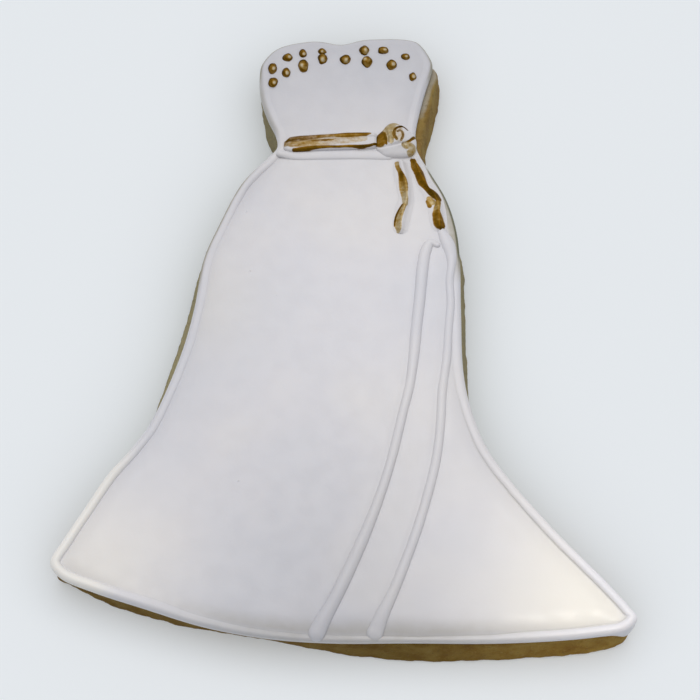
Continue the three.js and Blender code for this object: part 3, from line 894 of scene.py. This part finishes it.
def make_sash():
    """The waistband, streakily painted and darker at its lower edge, and the low bead below it."""
    def height(across, along):
        # across runs from the upper edge, -1, to the lower edge, 1
        ridge = 0.10 * np.exp(-(((across + 0.62) / 0.22) ** 2))
        groove = 0.12 * np.exp(-(((across + 0.28) / 0.12) ** 2))
        return 0.78 + 0.12 * across + (ridge - groove)

    strokes = [
        (0.7, [
            (-9.2, 33.1, 0.9, 0.5), (-8.2, 33.0, 1.2, 0.5), (-6.5, 33.05, 1.2, 0.46),
            (-3.5, 33.2, 1.1, 0.38), (-1.5, 33.35, 0.95, 0.3)]),
        (0.55, [(-2.5, 33.3, 1.0, 0.4), (0.0, 33.4, 1.0, 0.35), (3.4, 33.7, 0.8, 0.25)]),
        (0.76, [
            (-9.2, 33.6, 0.5, 0.8), (-7.4, 33.75, 0.54, 0.8), (-5.4, 33.9, 0.5, 0.74),
            (-3.4, 34.15, 0.38, 0.65), (-0.8, 34.3, 0.32, 0.55)]),
        (0.75, [
            (-8.6, 32.85, 0.24, 0.5), (-6.6, 32.95, 0.2, 0.45), (-4.6, 33.2, 0.24, 0.66),
            (-3.0, 33.3, 0.28, 0.7), (-1.6, 33.4, 0.18, 0.45)]),
        (0.9, [
            (-1.0, 34.25, 0.36, 0.6), (0.8, 34.4, 0.52, 0.7), (2.6, 34.5, 0.52, 0.68),
            (3.9, 34.6, 0.48, 0.78), (4.5, 34.6, 0.24, 0.6)]),
        # The dark stroke along the lower edge: brown paint, darkened further as painted shade on the
        # band's shaded lower side.
        (1.1, [
            (-8.1, 31.5, 0.26, 0.82), (-6.6, 31.6, 0.34, 0.8), (-5.0, 31.85, 0.3, 0.88),
            (-3.0, 32.0, 0.24, 0.82), (-0.8, 32.05, 0.2, 0.7), (1.0, 32.15, 0.22, 0.76),
            (3.0, 32.15, 0.24, 0.95), (4.6, 32.35, 0.22, 0.95), (5.8, 32.7, 0.22, 0.9)]),
    ]
    band = [
        (-9.75, 32.9, 1.0), (-8.6, 32.8, 1.5), (-5.0, 33.05, 1.55), (0.0, 33.38, 1.66),
        (5.9, 33.6, 1.5)]
    relief("waistband", "sash", band, height, strokes, columns=60)
    path = evenly(catmull_rom([
        (-10.4, 31.2, 0.6), (-8.0, 30.75, 0.85), (-3.0, 30.85, 0.95), (2.0, 30.9, 0.95),
        (7.6, 30.75, 0.9),
    ], False, 12), False, 0.2)
    level = np.full(len(path), FLOOD_TOP - 0.15)
    points, faces = bead(np.column_stack([path[:, :2], level]), path[:, 2], 0.44)
    piece = add_mesh("waist_bead", points, faces)
    finish_piece(piece, "sash", piped_material)


def make_ribbons():
    """Two wavy tails that merge with the flood, each with a raised, twisted, gilded strand."""
    def ribbon(strand_of):
        def height(across, along):
            strand = strand_of(along)
            return (1 - across ** 2) * (0.22 + 0.6 * np.exp(-(((across - strand) / 0.38) ** 2)))
        return height

    relief(
        "ribbon_tail_left", "ribbon_left",
        [(9.4, 29.9, 1.3), (9.8, 26.8, 1.6), (10.2, 24.4, 1.5), (10.4, 22.5, 1.45), (10.1, 20.9, 1.55),
         (9.6, 18.5, 1.6), (9.3, 15.9, 1.2)],
        ribbon(lambda along: -0.12 - 0.12 * math.sin(2 * math.pi * along)),
        [
            (1.0, [
                (8.9, 29.2, 0.38, 0.35), (9.0, 28.5, 0.36, 0.42), (9.4, 27.4, 0.38, 0.62),
                (9.7, 26.3, 0.6, 0.62), (9.9, 25.4, 0.76, 0.5), (10.0, 24.2, 0.74, 0.38),
                (10.1, 23.1, 0.58, 0.32), (10.2, 22.1, 0.52, 0.2), (10.2, 21.2, 0.46, 0.25)]),
            (1.1, [(9.35, 27.5, 0.26, 0.7), (9.6, 26.6, 0.32, 0.88), (9.7, 25.8, 0.28, 0.72)]),
            (0.95, [
                (10.0, 20.9, 0.44, 0.35), (9.5, 19.7, 0.54, 0.35), (9.1, 18.5, 0.62, 0.3),
                (9.0, 17.4, 0.62, 0.25), (9.1, 16.7, 0.5, 0.25), (9.05, 16.3, 0.36, 0.2)]),
            (1.1, [
                (9.7, 21.1, 0.16, 0.85), (9.2, 20.3, 0.17, 0.95), (8.72, 19.2, 0.17, 0.95),
                (8.5, 18.2, 0.16, 0.85), (8.42, 17.3, 0.12, 0.7)]),
        ])
    relief(
        "ribbon_tail_right", "ribbon_right",
        [(11.7, 30.6, 0.9), (12.5, 28.0, 1.4), (13.4, 25.6, 1.5), (14.6, 23.3, 1.6), (15.3, 20.9, 1.6),
         (15.6, 18.5, 1.6), (15.9, 16.4, 1.3)],
        ribbon(lambda along: -0.15 + 0.2 * math.sin(2.4 * math.pi * along)),
        [
            (1.1, [
                (11.25, 30.1, 0.26, 0.8), (11.6, 29.5, 0.46, 0.75), (11.8, 28.7, 0.62, 0.66),
                (12.35, 27.7, 0.78, 0.74), (12.75, 26.6, 0.8, 0.8), (13.05, 25.5, 0.72, 0.78),
                (13.5, 24.7, 0.5, 0.85), (13.9, 24.1, 0.42, 0.95), (14.4, 23.6, 0.52, 1.0),
                (15.1, 23.0, 0.64, 1.0), (15.65, 22.3, 0.54, 0.9)]),
            # Paler paint at the fold: a painted highlight.
            (0.95, [
                (15.6, 21.6, 0.5, 0.6), (15.45, 20.9, 0.56, 0.42), (15.3, 20.1, 0.6, 0.45),
                (15.3, 19.6, 0.64, 0.65)]),
            (1.1, [
                (15.3, 19.5, 0.74, 0.62), (15.5, 18.6, 0.9, 0.68), (15.7, 17.8, 0.94, 0.72),
                (16.0, 17.1, 0.8, 0.85), (16.15, 16.75, 0.44, 0.9)]),
            (1.0, [(13.9, 21.9, 0.4, 0.7), (14.2, 21.1, 0.4, 0.65)]),
            # A paler patch beside the fold: a painted highlight.
            (0.95, [(14.1, 22.5, 0.46, 0.42), (14.7, 21.7, 0.5, 0.36)]),
        ])


def make_rosette():
    """A small rolled flower: a mound whose lapped petals and coiled heart are parted by creases."""
    outline = evenly(catmull_rom([
        (5.35, 32.9), (5.5, 34.2), (6.1, 34.9), (6.7, 35.6), (7.2, 36.4), (7.9, 36.9), (8.7, 36.95),
        (9.5, 36.5), (10.4, 35.95), (11.1, 35.2), (11.8, 34.5), (12.15, 33.6), (12.2, 32.6),
        (12.05, 31.6), (11.5, 30.8), (10.4, 30.35), (8.6, 30.25), (7.1, 30.35), (6.1, 31.1),
        (5.5, 32.0),
    ], True, 8), True, 0.15)[::-1]
    heart = np.array([9.2, 33.9])
    rings = 46
    points, inward = [], []
    for r in range(rings):
        share = 1 - (r / (rings - 1)) ** 1.15 * 0.985
        points.append(heart + (outline - heart) * share)
        inward.append(np.full(len(outline), share))
    plan, inward = np.vstack(points), np.concatenate(inward)
    top = 1.05 + 0.8 * np.exp(-((np.linalg.norm(plan - heart, axis=1) / 1.7) ** 2))
    creases = [
        (0.32, 0.17, [(7.0, 35.4), (7.3, 34.3), (7.45, 33.1), (7.3, 32.1)]),
        (0.45, 0.16, [
            (10.7, 35.1), (10.1, 35.7), (9.4, 35.55), (8.8, 35.05), (8.45, 34.4), (8.5, 33.6),
            (8.9, 32.95)]),
        (0.40, 0.14, [(9.05, 34.3), (9.5, 34.6), (9.9, 34.1), (9.95, 33.4), (9.65, 32.75)]),
        (0.28, 0.20, [
            (5.4, 32.1), (6.6, 31.85), (8.0, 32.05), (9.2, 32.3), (10.4, 32.5), (11.1, 32.95),
            (12.0, 33.9)]),
        (0.25, 0.18, [(9.9, 32.3), (10.2, 31.4), (10.8, 30.5)]),
    ]
    for depth, width, line in creases:
        path = evenly(catmull_rom([(x, y, 0) for x, y in line], False, 8), False, 0.1)
        distance, _ = near_path(plan, path[:, :2])
        dip = depth * np.exp(-((distance / width) ** 2))
        swell = 0.4 * depth * np.exp(-((distance / width / 2.6) ** 2))
        top -= dip - swell
    top = top * np.sqrt(np.clip(1 - inward ** 5, 0, 1)) - 0.05
    points = np.column_stack([plan, FLOOD_TOP + top])
    points[:, 2] += 0.04 * lumps(points, 0.7, 12)
    points = np.vstack([with_height(outline, FLOOD_TOP - 0.3), points])
    # The dark strokes that follow the creases and the flower's left edge are brown paint in the
    # grooves, darkened further as painted shade.
    strokes = [
        (0.75, [
            (6.9, 34.9, 0.5, 0.3), (7.6, 35.7, 0.6, 0.26), (8.5, 36.15, 0.5, 0.2),
            (9.2, 36.1, 0.3, 0.1)]),
        (0.85, [
            (8.2, 35.6, 0.65, 0.24), (7.8, 34.6, 0.85, 0.26), (7.85, 33.5, 0.75, 0.22),
            (8.0, 32.7, 0.45, 0.2)]),
        (1.0, [(6.3, 34.6, 0.5, 0.8), (6.2, 33.6, 0.85, 0.68), (6.3, 32.7, 0.85, 0.62)]),
        (1.1, [(5.6, 33.9, 0.28, 0.95), (5.4, 33.2, 0.3, 0.95), (5.5, 32.5, 0.28, 0.9)]),
        (1.0, [(6.9, 34.4, 0.2, 0.85), (7.15, 33.2, 0.2, 0.82), (7.2, 32.4, 0.2, 0.7)]),
        (0.52, [(9.2, 34.9, 0.8, 0.3), (9.4, 33.9, 0.9, 0.3), (9.3, 33.0, 0.6, 0.25)]),
        (0.85, [
            (10.0, 35.65, 0.22, 0.85), (9.4, 35.5, 0.28, 0.75), (8.8, 35.05, 0.3, 0.6),
            (8.5, 34.4, 0.3, 0.52), (8.52, 33.6, 0.3, 0.5), (8.9, 32.95, 0.24, 0.4)]),
        (1.1, [
            (9.55, 35.6, 0.26, 0.95), (10.0, 35.72, 0.34, 1.0), (10.5, 35.4, 0.28, 1.0),
            (10.8, 35.15, 0.12, 0.9)]),
        (0.75, [
            (9.05, 34.4, 0.18, 0.45), (9.53, 34.64, 0.2, 0.5), (9.87, 34.07, 0.24, 0.55),
            (9.94, 33.43, 0.24, 0.55), (9.65, 32.78, 0.2, 0.45)]),
        (1.0, [(10.3, 32.5, 0.14, 0.6), (11.1, 32.95, 0.24, 0.75), (11.95, 33.9, 0.26, 0.8)]),
        (0.75, [
            (10.1, 32.1, 0.5, 0.2), (11.0, 31.9, 0.85, 0.3), (11.6, 31.5, 0.75, 0.28),
            (11.0, 30.9, 0.5, 0.25)]),
    ]
    gilt, tone = painted(points, strokes)
    faces = tube_faces(rings + 1, len(outline))
    piece = add_mesh("rolled_flower", points, faces, {"gilt": gilt, "tone": tone})
    finish_piece(piece, "rosette", gilded_material)


# -------- floor, light and camera

def make_floor():
    """A plain pale surface, wide enough to fill every view."""
    half = 3.0  # metres
    corners = [(-half, -half, 0), (half, -half, 0), (half, half, 0), (-half, half, 0)]
    mesh = bpy.data.meshes.new("floor")
    mesh.from_pydata(corners, [], [(0, 1, 2, 3)])
    floor = bpy.data.objects.new("floor", mesh)
    bpy.context.scene.collection.objects.link(floor)
    look = Material("floor")
    look.set(Base_Color=srgb(222, 226, 229), Roughness=0.95, Specular_IOR_Level=0.05)
    look.set(Emission_Color=srgb(229, 233, 236), Emission_Strength=0.14)
    mesh.materials.append(look.material)


def aim(thing, target):
    """Turns a light to face a point."""
    thing.rotation_euler = (Vector(target) - thing.location).to_track_quat("-Z", "Y").to_euler()


def add_lamp(data, place, target, receivers):
    """Adds a light that shines only on the pieces in one collection."""
    lamp = bpy.data.objects.new(data.name, data)
    lamp.location = place
    aim(lamp, target)
    bpy.context.scene.collection.objects.link(lamp)
    lamp.light_linking.receiver_collection = receivers


# Broad lights from above: place, angle in degrees, power and whether the gown or the floor is lit.
SUNS = [
    ("softbox", (-0.05, 0.58, 1.0), 46, 1.20, "gown"),
    ("overhead", (0.06, -0.35, 1.0), 115, 1.78, "floor"),
]
SUN_COLOUR = (1.0, 0.99, 0.985)

# Warm spots on the gown: place and target in metres, spread in degrees, power and colour.
FILLS = [
    ("fill_right", (0.052, -0.058, 0.160), (0.043, -0.045, 0.008), 25, 0.62, (1.0, 0.96, 0.89)),
    ("fill_left", (-0.060, -0.045, 0.150), (-0.040, -0.038, 0.008), 25, 0.28, (1.0, 0.96, 0.90)),
    ("fill_top", (0.006, 0.010, 0.200), (0.006, 0.006, 0.008), 30, 0.42, (1.0, 0.97, 0.93)),
]
FILL_SOFTNESS = 0.02  # radius in metres
SURROUNDINGS = (0.95, 0.97, 1.0, 1)
SURROUNDINGS_POWER = 0.40


def make_light():
    """Pale surroundings, a broad light for the gown, another for the floor, and three warm fills."""
    world = bpy.data.worlds.new("studio")
    world.use_nodes = True
    surroundings = world.node_tree.nodes["Background"]
    surroundings.inputs["Color"].default_value = SURROUNDINGS
    surroundings.inputs["Strength"].default_value = SURROUNDINGS_POWER
    bpy.context.scene.world = world

    receivers = {lit: bpy.data.collections.new("lit_" + lit) for lit in ("gown", "floor")}
    for piece in bpy.context.scene.collection.objects:
        if piece.type == "MESH":
            receivers["floor" if piece.name == "floor" else "gown"].objects.link(piece)

    for name, place, angle, power, lit in SUNS:
        data = bpy.data.lights.new(name, "SUN")
        data.angle = math.radians(angle)
        data.energy = power
        data.color = SUN_COLOUR
        add_lamp(data, place, (0, 0, 0), receivers[lit])

    for name, place, target, spread, power, tint in FILLS:
        data = bpy.data.lights.new(name, "SPOT")
        data.spot_size = math.radians(spread)
        data.spot_blend = 1.0
        data.shadow_soft_size = FILL_SOFTNESS
        data.energy = power
        data.color = tint
        add_lamp(data, place, target, receivers["gown"])


CAMERA_ELEVATION = 63.0  # degrees above the table
CAMERA_TARGET = (1.2, -3.6, 5.0)
CAMERA_DISTANCE = 400.0
SENSOR = 36.0
LENS = 128.6


def make_camera():
    """Looks down on the gown from beyond its hem, through a long lens."""
    elevation = math.radians(CAMERA_ELEVATION)
    target = Vector(CAMERA_TARGET) * MM
    data = bpy.data.cameras.new("camera")
    data.sensor_width = SENSOR
    data.lens = LENS
    camera = bpy.data.objects.new("camera", data)
    back = Vector((0, -math.cos(elevation), math.sin(elevation)))
    camera.location = target + back * CAMERA_DISTANCE * MM
    camera.rotation_euler = (-back).to_track_quat("-Z", "Y").to_euler()
    bpy.context.scene.collection.objects.link(camera)
    bpy.context.scene.camera = camera


make_biscuit()
make_icing()
make_drape("drape_left", drape_paths[0], 21)
make_drape("drape_right", drape_paths[1], 31)
make_pearls()
make_sash()
make_ribbons()
make_rosette()
make_floor()
make_light()
make_camera()
bpy.context.scene.view_settings.view_transform = "Standard"
